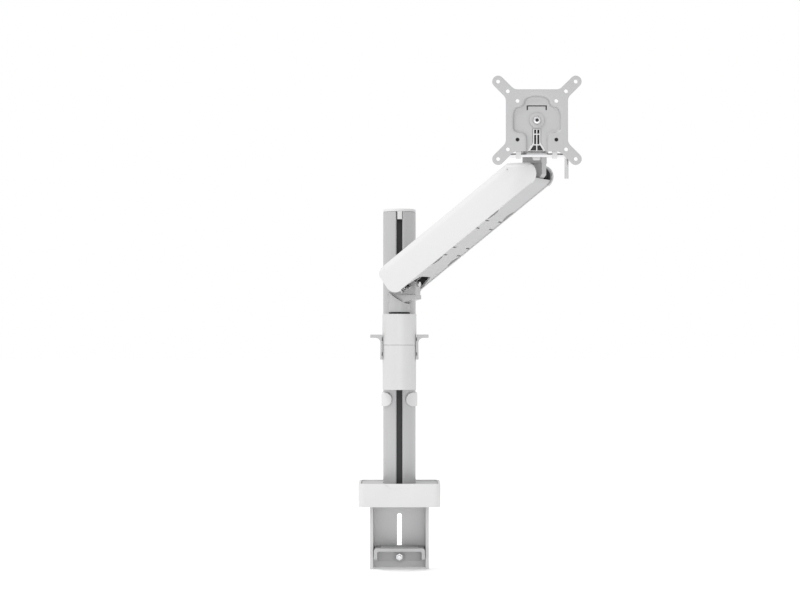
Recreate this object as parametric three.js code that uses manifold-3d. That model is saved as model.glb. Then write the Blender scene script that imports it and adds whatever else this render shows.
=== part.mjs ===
// Monitor arm on a desk-clamped pole. Millimetres, +Z up, the user stands on the -Y side.
// The origin is on the desk, under the pole's axis.
import * as THREE from 'three';
import { mergeVertices } from 'three/addons/utils/BufferGeometryUtils.js';
import { ConvexGeometry } from 'three/addons/geometries/ConvexGeometry.js';
import Module from 'manifold-3d';

// ---- driving dimensions -------------------------------------------------------------------
const GAP = 0.3;                    // clearance between neighbouring pieces
const SIDES = 20;                   // facets of a round piece
const POLE_SIDES = 32;              // facets of the pole and of what fits round it

const POLE = { radius: 22.5, lumen: 18.5, bottom: 12.7, top: 403.3, mouth: 4.1 };
const BASE = { width: 112, front: -51, back: 40, height: 32, wall: 3.4, corner: 9 };
const BRACKET = { half: 40.7, sheet: 4.6, front: 3, back: 32.6, drop: 89, top: 12 };
const JAW = { half: 35.1, front: -13, back: 27.2, top: -59, sheet: 4.6, leg: 15 };
const SLOT = { top: -14, bottom: -78, radius: 3.4, pitch: 5 };
const CLIP = { bottom: 136, top: 155, radius: 25.1 };

const HUB = { y: -60, radius: 14.5, shaft: 8, bottom: 264.8 };
const CARRIAGE = { radius: 23, back: -12, bottom: 160, seam: 220, top: 262 };
const TAB = { reach: 39.3, top: 234.3, thick: 4.4, foot: 200.4, depth: 16 };

const SWING = THREE.MathUtils.degToRad(27);       // the arm points this far towards the user
const RISE = THREE.MathUtils.degToRad(35.8);      // and this far above the horizontal
const ARM = { pivotU: 5, pivotZ: 312.5, reach: 232.5, drop: -7.5, half: 30, up: 23, wall: 3 };
const NOSE = 15.5;                  // radius of the arm's nose round the tip pivot
const LINK_LIFT = 12.5;             // the levelling link runs this far above the main pivots
const PIN = 4;                      // radius of the pivot pins

const HEAD = { tiltY: -163, tiltZ: 510, offsetX: 0.8 };
const PLATE = { front: -195, thick: 2.5, body: 80, pocket: 3.5, floor: 2.5, hole: 2.5, ear: 7.7,
  hole50: 50, fillet: 4.5 };
const KEY = { y: -189.2, z: 465.2, flats: 5, left: -38.9, right: 38.5, foot: 434.7 };

// ---- finishes -----------------------------------------------------------------------------
const FINISH = {
  white: { color: 0xeeeeee, roughness: 0.45, metalness: 0 },
  silver: { color: 0xbfc0c2, roughness: 0.4, metalness: 0.3 },
  grey: { color: 0x9a9b9d, roughness: 0.5, metalness: 0 },
  steel: { color: 0xb5b6b8, roughness: 0.35, metalness: 0.9 },
  dark: { color: 0x3a3a3c, roughness: 0.6, metalness: 0 },
  rubber: { color: 0x222222, roughness: 0.9, metalness: 0 },
};

// ---- solids -------------------------------------------------------------------------------
const wasm = await Module();
wasm.setup();

function solid(geometry) {
  const bare = geometry.clone();
  bare.deleteAttribute('normal');
  bare.deleteAttribute('uv');
  const merged = mergeVertices(bare, 1e-4);
  const vertProperties = new Float32Array(merged.attributes.position.array);
  const triVerts = new Uint32Array(merged.index.array);
  return new wasm.Manifold(new wasm.Mesh({ numProp: 3, vertProperties, triVerts }));
}

function geometryOf(shape) {
  const mesh = shape.getMesh();
  const geometry = new THREE.BufferGeometry();
  geometry.setAttribute('position', new THREE.BufferAttribute(new Float32Array(mesh.vertProperties), 3));
  geometry.setIndex(new THREE.BufferAttribute(new Uint32Array(mesh.triVerts), 1));
  return geometry;
}

function joined(...shapes) {
  return shapes.reduce((whole, shape) => whole.add(shape));
}

function cut(body, ...tools) {
  return tools.reduce((rest, tool) => rest.subtract(tool), body);
}

// A box between two corners.
function block(x0, x1, y0, y1, z0, z1) {
  const box = new THREE.BoxGeometry(x1 - x0, y1 - y0, z1 - z0);
  return solid(box.translate((x0 + x1) / 2, (y0 + y1) / 2, (z0 + z1) / 2));
}

// Round bars along each axis, between two ends.
function barZ(radius, x, y, z0, z1, sides = SIDES) {
  const bar = new THREE.CylinderGeometry(radius, radius, z1 - z0, sides).rotateX(Math.PI / 2);
  return solid(bar.translate(x, y, (z0 + z1) / 2));
}

function barY(radius, x, z, y0, y1, sides = SIDES) {
  const bar = new THREE.CylinderGeometry(radius, radius, y1 - y0, sides);
  return solid(bar.translate(x, (y0 + y1) / 2, z));
}

function barX(radius, y, z, x0, x1, sides = SIDES) {
  const bar = new THREE.CylinderGeometry(radius, radius, x1 - x0, sides).rotateZ(Math.PI / 2);
  return solid(bar.translate((x0 + x1) / 2, y, z));
}

// A flat outline in X and Y, raised from z0 to z1.
function raised(outline, z0, z1, curveSegments = 5) {
  const options = { depth: z1 - z0, bevelEnabled: false, curveSegments };
  return solid(new THREE.ExtrudeGeometry(outline, options).translate(0, 0, z0));
}

// An upright outline in X and Z, carried from y0 (nearer the user) to y1.
function upright(outline, y0, y1, curveSegments = 5) {
  const options = { depth: y1 - y0, bevelEnabled: false, curveSegments };
  const sheet = new THREE.ExtrudeGeometry(outline, options).translate(0, 0, -y1);
  return solid(sheet.rotateX(Math.PI / 2));
}

function roundedBox(x0, x1, y0, y1, radius) {
  const outline = new THREE.Shape();
  outline.moveTo(x0 + radius, y0);
  outline.absarc(x1 - radius, y0 + radius, radius, -Math.PI / 2, 0);
  outline.absarc(x1 - radius, y1 - radius, radius, 0, Math.PI / 2);
  outline.absarc(x0 + radius, y1 - radius, radius, Math.PI / 2, Math.PI);
  outline.absarc(x0 + radius, y0 + radius, radius, Math.PI, 1.5 * Math.PI);
  return outline;
}

function polygon(...points) {
  return new THREE.Shape(points.map(([x, y]) => new THREE.Vector2(x, y)));
}

const arm = new THREE.Group();

function piece(name, shape, finish, parent = arm) {
  const mesh = new THREE.Mesh(geometryOf(shape), new THREE.MeshStandardMaterial(FINISH[finish]));
  mesh.name = name;
  parent.add(mesh);
}

// ---- desk clamp and base ------------------------------------------------------------------
function coverInner(gap) {
  const inset = BASE.wall + gap;
  const half = BASE.width / 2 - inset;
  return roundedBox(-half, half, BASE.front + inset, BASE.back - inset, BASE.corner - inset);
}

function buildBase() {
  const plateBack = BRACKET.back - BRACKET.sheet - GAP;
  const boltHole = barZ(5, 0, 0, 0, 20);
  const headRoom = barZ(8.6, 0, 0, -1, 9);
  // The pad rests on the desk in front of the bracket's channel.
  piece('base_pad', raised(roundedBox(-51, 51, -46, BRACKET.front - 0.5, 5), 0, 2), 'rubber');

  const holes = [-22, 22].map((x) => barY(2.3, x, 7.4, plateBack - 12, plateBack + 1, 12));
  const steel = raised(roundedBox(-50, 50, -45, plateBack, 4), 2.3, 12.4);
  piece('base_plate', cut(steel, boltHole, headRoom, ...holes), 'steel');

  const outer = roundedBox(-BASE.width / 2, BASE.width / 2, BASE.front, BASE.back, BASE.corner);
  const hollow = raised(coverInner(0), -1, BASE.height + 1);
  const scoop = solid(new ConvexGeometry([
    [-13.2, BASE.front - 0.2, 25.3], [13.2, BASE.front - 0.2, 25.3],
    [-20.4, BASE.front - 0.2, 32.4], [20.4, BASE.front - 0.2, 32.4],
    [-20.4, BASE.front + 3.2, 32.4], [20.4, BASE.front + 3.2, 32.4],
  ].map((point) => new THREE.Vector3(...point))));
  piece('base_cover', cut(raised(outer, 0.4, BASE.height), hollow, scoop), 'white');

  const tray = raised(coverInner(GAP), 27, 30.2);
  const collar = barZ(26, 0, 0, POLE.bottom, 28, POLE_SIDES);
  const poleHole = barZ(POLE.radius + GAP, 0, 0, 0, 40, POLE_SIDES);
  piece('base_top', cut(joined(tray, collar), poleHole), 'silver');
}

function buildPole() {
  const top = POLE.top;
  const outer = barZ(POLE.radius, 0, 0, POLE.bottom, top, POLE_SIDES);
  const lumen = barZ(POLE.lumen, 0, 0, 0, top + 9);
  const housing = block(-11.5, 11.5, -22, -9.5, 0, top + 9);
  const cavity = block(-8.6, 8.6, -18.4, -12.3, 0, top + 9);
  const mouth = raised(polygon(
    [-POLE.mouth, -18], [-POLE.mouth, -21], [-POLE.mouth - 1.6, -23], [POLE.mouth + 1.6, -23],
    [POLE.mouth, -21], [POLE.mouth, -18],
  ), 0, top + 9);
  piece('pole', cut(outer, cut(lumen, housing), cavity, mouth), 'silver');

  piece('slot_strip', block(-8.2, 8.2, -14.6, -12.6, 13, 166), 'dark');

  const foot = cut(barZ(POLE.lumen - GAP, 0, 0, POLE.bottom, 44), block(-30, 30, -30, -9.2, 0, 60));
  piece('pole_foot', cut(foot, barZ(4.6, 0, 0, 0, 60)), 'steel');
  piece('pole_bolt', joined(barZ(4.2, 0, 0, 3, 42), barZ(7.5, 0, 0, 2.6, 8.6)), 'steel');

  const lid = barZ(POLE.radius, 0, 0, top + GAP, 408, POLE_SIDES);
  const tongue = block(-2.8, 3.7, -22.3, -19, 392.7, top + 1);
  piece('pole_cap', joined(lid, tongue), 'white');
}

function buildClip() {
  const middle = (CLIP.bottom + CLIP.top) / 2;
  const half = (CLIP.top - CLIP.bottom) / 2;
  const outer = barZ(CLIP.radius, 0, 0, CLIP.bottom, CLIP.top, POLE_SIDES);
  const band = cut(outer, barZ(POLE.radius + GAP, 0, 0, 0, 300, POLE_SIDES));
  const rear = block(-30, 30, -13, 30, CLIP.bottom - 1, CLIP.top + 1);
  const ends = [-20.6, 19.2].map((x) => barY(half, x, middle, -30, 0));
  piece('cable_clip', band.intersect(joined(rear, ...ends)), 'white');
}

// The slot in the bracket's web is a row of overlapping rounds, one for each locking step.
function scallopedSlot() {
  const steps = Math.round((SLOT.top - SLOT.bottom) / SLOT.pitch);
  const rounds = [block(-2.9, 2.9, 20, 40, SLOT.bottom, SLOT.top - 3)];
  for (let i = 0; i < steps; i++) {
    rounds.push(barY(SLOT.radius, 0, SLOT.top - SLOT.radius - i * SLOT.pitch, 20, 40, 12));
  }
  return joined(...rounds);
}

function buildClamp() {
  const { half, sheet, front, back, drop, top } = BRACKET;
  const channel = new THREE.Shape();
  channel.moveTo(-half, front);
  channel.lineTo(-half, back - 6);
  channel.absarc(-half + 6, back - 6, 6, Math.PI, Math.PI / 2, true);
  channel.lineTo(half - 6, back);
  channel.absarc(half - 6, back - 6, 6, Math.PI / 2, 0, true);
  channel.lineTo(half, front);
  channel.lineTo(half - sheet, front);
  channel.lineTo(half - sheet, back - sheet - 2);
  channel.absarc(half - sheet - 2, back - sheet - 2, 2, 0, Math.PI / 2);
  channel.lineTo(-half + sheet + 2, back - sheet);
  channel.absarc(-half + sheet + 2, back - sheet - 2, 2, Math.PI / 2, Math.PI);
  channel.lineTo(-half + sheet, front);
  const lip = block(-34, 34, back - sheet, back, -2, top);
  const holes = [-22, 22].map((x) => barY(2.8, x, 7.4, 20, 40, 12));
  const bent = raised(channel, -drop, -0.3, 4);
  piece('clamp_bracket', cut(joined(bent, lip), scallopedSlot(), ...holes), 'silver');

  [['left', -22], ['right', 22]].forEach(([side, x]) => {
    const head = barY(4, x, 7.4, back + GAP, back + 3.4, 20);
    piece(`bracket_screw_${side}`, joined(head, barY(2, x, 7.4, back - 15, back + 1, 12)), 'steel');
  });

  const bolt = JAW.top - JAW.leg;
  const outer = roundedBox(-JAW.half, JAW.half, JAW.top - JAW.leg - 8, JAW.top, 4.8);
  const inner = roundedBox(-JAW.half + JAW.sheet, JAW.half - JAW.sheet,
    JAW.top - JAW.leg - 12, JAW.top - JAW.sheet, 2);
  const below = block(-50, 50, -40, 40, -120, JAW.top - JAW.leg);
  const sheetMetal = cut(upright(outer, JAW.front, JAW.back), upright(inner, -30, 22.6), below);
  const backWall = block(-29, 29, 22.5, JAW.back, bolt - 6, JAW.top - JAW.sheet + 0.5);
  const hole = barY(3.3, 0, bolt, 0, 50, 20);
  piece('clamp_jaw', cut(joined(sheetMetal, backWall), hole), 'silver');
  piece('jaw_pad', raised(roundedBox(-26, 26, -10, 20, 3), JAW.top + 0.2, JAW.top + 1.4), 'rubber');
  piece('jaw_washer', cut(barY(7.9, 0, bolt, 20.6, 22.2, 18), barY(3.3, 0, bolt, 0, 50, 20)), 'steel');
  const head = barY(6.4, 0, bolt, BRACKET.back + GAP, BRACKET.back + 4, 18);
  const nut = barY(5, 0, bolt, 17.4, 20.3, 6);
  piece('jaw_bolt', joined(head, barY(2.6, 0, bolt, 14.5, BRACKET.back + 1, 12), nut), 'steel');
}

// ---- height carriage ----------------------------------------------------------------------
function carriagePlan(inset, back) {
  const radius = CARRIAGE.radius - inset;
  const outline = new THREE.Shape();
  outline.moveTo(radius, back);
  outline.lineTo(-radius, back);
  outline.lineTo(-radius, HUB.y);
  outline.absarc(0, HUB.y, radius, Math.PI, 2 * Math.PI);
  return outline;
}

function tabSlots(z0, z1) {
  const { radius } = CARRIAGE;
  return [-1, 1].map((side) => {
    const ends = [side * (radius + 1), side * (radius - 4)].sort((a, b) => a - b);
    return block(ends[0], ends[1], HUB.y - 3, HUB.y + 3, z0, z1);
  });
}

function buildCarriage() {
  const bore = barZ(POLE.radius + GAP, 0, 0, 0, 500, POLE_SIDES);
  const shaftHole = barZ(HUB.shaft + GAP, 0, HUB.y, 224.5, 300);
  const screws = (z) => barY(3, 0, z, -37, -20, 12);

  const upper = raised(carriagePlan(0, CARRIAGE.back), CARRIAGE.seam + GAP, CARRIAGE.top, 18);
  const pocket = barY(5.4, 0, 243, -40, -30.5, 20);
  piece('carriage_upper', cut(upper, bore, shaftHole, screws(243), pocket, ...tabSlots(225, 237)), 'silver');

  const lower = raised(carriagePlan(0, CARRIAGE.back), CARRIAGE.bottom, CARRIAGE.seam, 18);
  const hollow = raised(carriagePlan(3.4, -30), CARRIAGE.bottom - 1, CARRIAGE.seam - 5, 12);
  piece('carriage_lower', cut(lower, bore, hollow, screws(190), ...tabSlots(205, 217)), 'silver');

  const stem = block(-3.7, 3.7, -22.2, -17, 170, 256);
  const wide = block(-8.2, 8.2, -18.1, -13.2, 170, 256);
  const tapped = [190, 243].map((z) => barY(2.4, 0, z, -30, -10, 12));
  piece('slide_block', cut(joined(stem, wide), ...tapped), 'dark');
  [['lower', 190, -30.3], ['upper', 243, -30.8]].forEach(([end, z, seat]) => {
    const head = barY(4.6, 0, z, seat - 4, seat, 20);
    piece(`slide_screw_${end}`, joined(head, barY(2.1, 0, z, seat - 1, -13.6, 12)), 'steel');
  });

  const shaft = barZ(HUB.shaft, 0, HUB.y, 225, 284);
  piece('swivel_shaft', shaft, 'steel');
  const washer = cut(barZ(14.2, 0, HUB.y, 262.3, 264.5), barZ(HUB.shaft + GAP, 0, HUB.y, 0, 400));
  piece('bearing_washer', washer, 'rubber');

  [['left', -1], ['right', 1]].forEach(([side, sign]) => {
    const inner = CARRIAGE.radius + 0.7;
    const outer = inner + 1.8;
    const round = 7;
    const outline = new THREE.Shape();
    outline.moveTo(inner, TAB.foot);
    outline.lineTo(inner, TAB.top);
    outline.lineTo(TAB.reach, TAB.top);
    outline.lineTo(TAB.reach, TAB.top - TAB.thick);
    outline.lineTo(outer + round, TAB.top - TAB.thick);
    outline.absarc(outer + round, TAB.top - TAB.thick - round, round, Math.PI / 2, Math.PI);
    outline.lineTo(outer + 0.3, TAB.foot);
    const blade = upright(outline, HUB.y - TAB.depth / 2, HUB.y + TAB.depth / 2);
    const posts = [226, 206].map((z) => block(inner - 4, inner + 0.5, HUB.y - 2.6, HUB.y + 2.6, z, z + 4.4));
    const lever = joined(blade, ...posts);
    piece(`release_tab_${side}`, sign > 0 ? lever : lever.mirror([1, 0, 0]), 'silver');
  });
}

// ---- swinging arm: u runs along the arm seen from above, the user's side is at negative y --
const swivel = new THREE.Group();
swivel.position.set(0, HUB.y, 0);
swivel.rotation.z = -SWING;
arm.add(swivel);

const pivot = { u: ARM.pivotU, z: ARM.pivotZ };
const tip = {
  u: pivot.u + ARM.reach * Math.cos(RISE) - ARM.drop * Math.sin(RISE),
  z: pivot.z + ARM.reach * Math.sin(RISE) + ARM.drop * Math.cos(RISE),
};

// A pin across the arm, with its axis at u, z.
function pinAcross(radius, u, z, half) {
  return barY(radius, u, z, -half, half, 12);
}

function buildKnuckle() {
  const round = 10.5;
  const neck = new THREE.Shape();
  neck.moveTo(10.8, 277.7);
  neck.lineTo(28, 282);
  neck.lineTo(28, 305.3);
  neck.lineTo(19, 308.5);
  neck.absarc(pivot.u, pivot.z, round, 0, Math.PI);
  neck.lineTo(pivot.u - round, 308);
  neck.lineTo(-1.5, 300);
  neck.lineTo(-3, 296.5);
  neck.lineTo(-14.3, 293.5);
  neck.lineTo(-14.3, 277.7);
  const wide = upright(neck, -9.7, 9.7, 12).intersect(block(-40, 40, -20, 20, 260, 287.5));
  const narrow = upright(neck, -7.2, 7.2, 12);
  // The round hub is cut off on a slope, so that the arm's lower end swings clear of it.
  const slope = upright(polygon([-30, 303.4], [30, 265.6], [30, 400], [-30, 400]), -30, 30);
  const hub = cut(barZ(HUB.radius, 0, 0, HUB.bottom, 296), slope);
  const holes = [
    barZ(HUB.shaft + GAP, 0, 0, 200, 284.5),
    pinAcross(PIN + GAP, pivot.u, pivot.z, 30),
    pinAcross(3 + GAP, pivot.u + 6, pivot.z - 15, 30),
    barX(2.2, 0, 302, 14, 40, 12),
  ];
  piece('arm_base', cut(joined(hub, wide, narrow), ...holes), 'silver', swivel);
  piece('spring_pin', pinAcross(3, pivot.u + 6, pivot.z - 15, 12), 'steel', swivel);
  const screw = joined(barX(1.9, 0, 302, 15, 29, 12), barX(3.6, 0, 302, 28.3, 31, 20));
  piece('tension_screw', screw, 'steel', swivel);

  const link = { u: pivot.u, z: pivot.z + LINK_LIFT };
  const lug = upright(polygon([link.u - 5, pivot.z - 2], [link.u + 5, pivot.z - 2],
    [link.u + 3.4, link.z + 3.6], [link.u - 3.4, link.z + 3.6]), 7.5, 13.2);
  const lugHoles = [pinAcross(PIN + GAP, pivot.u, pivot.z, 30), pinAcross(2.3, link.u, link.z, 30)];
  piece('link_lug', cut(lug, ...lugHoles), 'steel', swivel);
  piece('link_pin_lower', barY(2, link.u, link.z, 7.6, 18.8, 20), 'steel', swivel);
}

// ---- lifting arm: x runs along the arm from its lower pivot, z across its height ----------
const lift = new THREE.Group();
lift.position.set(pivot.u, 0, pivot.z);
lift.rotation.y = -RISE;
swivel.add(lift);

// The arm's side outline, grown or shrunk by `inset`; the flat above the nose is level at rest.
function armSide(inset, rearInset = inset) {
  const top = ARM.up - inset;
  const bottom = -ARM.up + inset;
  const rear = -16.5 + rearInset;
  const nose = NOSE - inset;
  const flat = Math.PI / 2 - RISE;
  // The shoulder's centre lies as far below the arm's top as below the level flat.
  const shoulder = 9;
  const shoulderZ = ARM.up - shoulder;
  const shoulderX = ARM.reach + (NOSE - shoulder - (shoulderZ - ARM.drop) * Math.cos(RISE)) / Math.sin(RISE);
  const outline = new THREE.Shape();
  const heel = 16 - inset;
  const crest = 12 - inset;
  outline.moveTo(rear + heel, bottom);
  outline.absarc(ARM.reach, ARM.drop, nose, -Math.PI / 2, flat);
  outline.absarc(shoulderX, shoulderZ, shoulder - inset, flat, Math.PI / 2);
  outline.absarc(rear + crest, top - crest, crest, Math.PI / 2, Math.PI);
  outline.absarc(rear + heel, bottom + heel, heel, Math.PI, 1.5 * Math.PI);
  return outline;
}

// The arm's section: square below, well rounded along both top edges.
function armSection(inset, x0, x1) {
  const half = ARM.half - inset;
  const round = 13 - inset;
  const outline = new THREE.Shape();
  outline.moveTo(-half, -40);
  outline.lineTo(half, -40);
  outline.absarc(half - round, ARM.up - inset - round, round, 0, Math.PI / 2);
  outline.absarc(-half + round, ARM.up - inset - round, round, Math.PI / 2, Math.PI);
  const along = new THREE.ExtrudeGeometry(outline, { depth: x1 - x0, bevelEnabled: false, curveSegments: 6 });
  return solid(along.rotateX(Math.PI / 2).rotateZ(Math.PI / 2).translate(x0, 0, 0));
}

function armBody(inset, rearInset) {
  return upright(armSide(inset, rearInset), -ARM.half + inset, ARM.half - inset, 6).intersect(
    armSection(inset, -60, 320));
}

function buildArm() {
  const mouth = block(-60, 320, -ARM.half + ARM.wall, ARM.half - ARM.wall, -60, -8);
  const noseMouth = block(ARM.reach - 8, 320, -24.2, 24.2, -60, 60);
  const yokeSlot = raised(roundedBox(ARM.reach - 33, 330, -21.5, 21.5, 10), -60, 60);
  const rearNotch = block(-60, 0, -16, 16, -60, -4);
  const inside = armBody(ARM.wall).intersect(block(-60, 320, -60, 60, -60, 60));
  const cavity = joined(inside, mouth.intersect(block(-16.5 + ARM.wall, 320, -60, 60, -60, -7)));
  const open = [cavity, noseMouth, yokeSlot, rearNotch];
  piece('arm_shell', cut(armBody(0), ...open), 'white', lift);

  // The cast frame is a channel inside the shell, with a web under the shell's roof.
  const outer = armBody(ARM.wall + GAP, ARM.wall + 4);
  const channel = cut(outer, block(-60, 320, -24, 24, -60, 16.8), block(-60, 320, -60, 60, -60, -18),
    noseMouth, yokeSlot, rearNotch);
  const boss = [-1, 1].map((side) => {
    const ends = [side * 24.3, side * 20].sort((a, b) => a - b);
    return joined(barY(8, 0, 0, ends[0], ends[1], 18), barY(8, ARM.reach, ARM.drop, ends[0], ends[1], 18));
  });
  const seats = block(195, 203, -26, 26, -5, 17).intersect(outer);
  const seatRoom = cut(seats, barY(30, 199, -40, -11, 11));
  const pinHoles = [
    barY(PIN + GAP, 0, 0, -40, 40, 12),
    barY(PIN + GAP, ARM.reach, ARM.drop, -40, 40, 12),
    barX(5, 0, -9, 150, 240, 20),
    block(150, 204, 12.7, 19.5, 0, 16.7),
  ];
  piece('arm_frame', cut(joined(channel, ...boss, seatRoom), ...pinHoles), 'grey', lift);
  piece('lift_pin', barY(PIN, 0, 0, -26.4, 26.4, 18), 'steel', lift);
  piece('tip_pin', barY(PIN, ARM.reach, ARM.drop, -26.4, 26.4, 18), 'steel', lift);

  buildUnderside();

  const barrel = barX(8.5, 0, -9, 62, 186);
  const gland = barX(4.6, 0, -9, 40, 70, 18);
  const strut = joined(barrel, barX(6.5, 0, -9, 58, 64), barX(4.5, 0, -9, 180, 204, 18));
  const mouthEnd = gland.intersect(block(40, 66, -9, 9, -20, 5));
  piece('gas_cylinder', cut(strut, mouthEnd, barX(3.6, 0, -9, 50, 140, 12)), 'dark', lift);

  const fork = [-1, 1].map((side) => {
    const ends = [side * 7.8, side * 10.6].sort((a, b) => a - b);
    return block(-10, 5, ends[0], ends[1], -20.5, -5.4);
  });
  const yoke = block(36, 39.4, -10.6, 10.6, -14, -5.4);
  const arms = [-1, 1].map((side) => {
    const ends = [side * 7.8, side * 10.6].sort((a, b) => a - b);
    return block(4, 38, ends[0], ends[1], -14, -5.4);
  });
  const slot = block(-8.2, 0.6, -20, 20, -40, -8.6);
  const rod = cut(joined(...fork, ...arms, yoke, barX(3.3, 0, -9, 38, 110, 18)), slot);
  piece('gas_rod', rod, 'steel', lift);
}

// The underside panel: finger scoops and cable slits along both edges, and a round end at the nose.
function buildUnderside() {
  const start = 28;
  const edge = 26.6;
  const outline = new THREE.Shape();
  outline.moveTo(6, -edge);
  outline.lineTo(ARM.reach, -edge);
  outline.lineTo(ARM.reach, edge);
  outline.lineTo(6, edge);
  outline.lineTo(start - 4, 18);
  outline.quadraticCurveTo(start, 16, start, 12);
  outline.lineTo(start, -12);
  outline.quadraticCurveTo(start, -16, start - 4, -18);
  const holes = [];
  const centre = 113.6;
  [-1, 1].forEach((side) => {
    [-50, 50].forEach((offset) => {
      holes.push(barZ(12, centre + offset, side * (edge + 4.6), -40, 0, 18));
    });
    [-37.4, -21, 21, 37.4].forEach((offset) => {
      const ends = [side * (edge + 1), side * (edge - 11.5)].sort((a, b) => a - b);
      holes.push(block(centre + offset - 1.2, centre + offset + 1.2, ends[0], ends[1], -40, 0));
    });
  });
  const panel = raised(outline, -21, -18.5);
  // Round the nose the panel follows the tip pivot for a third of a quarter turn.
  const wrap = new THREE.Shape();
  wrap.absarc(ARM.reach, ARM.drop, 13.5, -Math.PI / 2, -1.02);
  wrap.absarc(ARM.reach, ARM.drop, 11.4, -1.02, -Math.PI / 2, true);
  const lip = upright(wrap, -23.9, 23.9, 8);
  piece('arm_underside', cut(joined(panel, lip), ...holes), 'grey', lift);
}

function buildLink() {
  const from = new THREE.Vector2(LINK_LIFT * Math.sin(RISE), LINK_LIFT * Math.cos(RISE));
  const to = new THREE.Vector2(ARM.reach + from.x, ARM.drop + from.y);
  const along = to.clone().sub(from).normalize().multiplyScalar(0.1);
  const side = new THREE.Vector2(-along.y, along.x).normalize().multiplyScalar(3);
  const bar = polygon([from.x + side.x, from.y + side.y], [from.x - side.x, from.y - side.y],
    [to.x - side.x, to.y - side.y], [to.x + side.x, to.y + side.y]);
  const eyes = [from, to].map((end) => barY(4.2, end.x, end.y, 14, 18, 18));
  const holes = [from, to].map((end) => barY(2 + GAP, end.x, end.y, 0, 30, 20));
  piece('level_link', cut(joined(upright(bar, 14, 18), ...eyes), ...holes), 'steel', lift);
}

// ---- tip knuckle --------------------------------------------------------------------------
function buildTip() {
  const { u, z } = tip;
  const outline = new THREE.Shape();
  outline.moveTo(u - 12.7, z + 24.5);
  outline.lineTo(u - 12.7, z + 15.5);
  outline.lineTo(u - 11, z + 12);
  outline.absarc(u, z, 11, Math.PI, 1.72 * Math.PI);
  outline.lineTo(u + 14.3, z + 1);
  outline.lineTo(u + 14.3, z + 24.5);
  const body = upright(outline, -7.2, 7.2, 12);
  const top = block(u - 12.7, u + 14.3, -9, 9, z + 15.7, z + 24.5);
  const holes = [
    pinAcross(PIN + GAP, u, z, 30),
    barZ(5 + GAP, u, 0, z + 8, z + 40),
  ];
  piece('arm_tip', cut(joined(body, top), ...holes), 'silver', swivel);
  const lug = upright(polygon([u - 5, z - 2], [u + 5, z - 2], [u + 4, z + LINK_LIFT + 4],
    [u - 4, z + LINK_LIFT + 4]), 7.5, 13.2);
  const clear = block(u - 20, u + 20, 0, 9.3, z + 15.4, z + 30);
  const lugHoles = [pinAcross(PIN + GAP, u, z, 30), pinAcross(2.3, u, z + LINK_LIFT, 30)];
  piece('tip_lug', cut(lug, ...lugHoles, clear), 'steel', swivel);
  piece('link_pin_upper', barY(2, u, z + LINK_LIFT, 7.6, 18.8, 20), 'steel', swivel);
  piece('pan_post', barZ(5, u, 0, z + 8.4, z + 36), 'steel', swivel);
}

// ---- head: faces the user, panned back from the arm's own direction -----------------------
const panX = tip.u * Math.cos(SWING);
const panY = HUB.y - tip.u * Math.sin(SWING);
const plateX = panX + HEAD.offsetX;

function buildYoke() {
  const base = tip.z + 24.8;
  const washer = cut(barZ(12.6, panX, panY, base, base + 1.2), barZ(5 + GAP, panX, panY, 0, 900));
  piece('pan_washer', washer, 'rubber');
  const floor = base + 1.5;
  const disc = barZ(13, panX, panY, floor, floor + 5);
  const foot = joined(disc, block(panX - 18, panX + 18, panY - 8, panY + 8, floor, floor + 5));
  const ears = [-1, 1].map((side) => {
    const ends = [panX + side * 18, panX + side * 14.4].sort((a, b) => a - b);
    const post = solid(new ConvexGeometry([
      [ends[0], panY - 8, floor], [ends[1], panY - 8, floor],
      [ends[0], panY + 8, floor], [ends[1], panY + 8, floor],
      [ends[0], HEAD.tiltY - 8, HEAD.tiltZ - 4], [ends[1], HEAD.tiltY - 8, HEAD.tiltZ - 4],
      [ends[0], HEAD.tiltY + 8, HEAD.tiltZ + 4], [ends[1], HEAD.tiltY + 8, HEAD.tiltZ + 4],
    ].map((point) => new THREE.Vector3(...point))));
    return joined(post, barX(9.4, HEAD.tiltY, HEAD.tiltZ, ends[0], ends[1], 20));
  });
  const holes = [barZ(5 + GAP, panX, panY, 0, 900), barX(3.8 + GAP, HEAD.tiltY, HEAD.tiltZ, 0, 400, 18)];
  piece('tilt_yoke', cut(joined(foot, ...ears), ...holes), 'silver');
  const shank = barX(3.8, HEAD.tiltY, HEAD.tiltZ, panX - 19, panX + 22, 18);
  piece('tilt_bolt', joined(shank, barX(6.5, HEAD.tiltY, HEAD.tiltZ, panX - 22.5, panX - 18.3, 18)), 'steel');
  const nut = cut(barX(7, HEAD.tiltY, HEAD.tiltZ, panX + 18.3, panX + 21.7, 6),
    barX(3.8 + GAP, HEAD.tiltY, HEAD.tiltZ, 0, 400, 18));
  piece('tilt_nut', nut, 'steel');
}

function buildTiltBarrel() {
  const { tiltY, tiltZ } = HEAD;
  const barrel = barX(9.4, tiltY, tiltZ, panX - 14, panX + 14, 20);
  const neck = block(panX - 12, panX + 12, tiltY - 13.4, tiltY, tiltZ - 9, tiltZ + 9);
  const spindle = barY(8, plateX, tiltZ, -187.8, tiltY - 10, 20);
  const holes = [barX(3.8 + GAP, tiltY, tiltZ, 0, 400, 18), barY(3.3, plateX, tiltZ, -200, -172, 20)];
  piece('tilt_barrel', cut(joined(barrel, neck, spindle), ...holes), 'dark');
}

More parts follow.
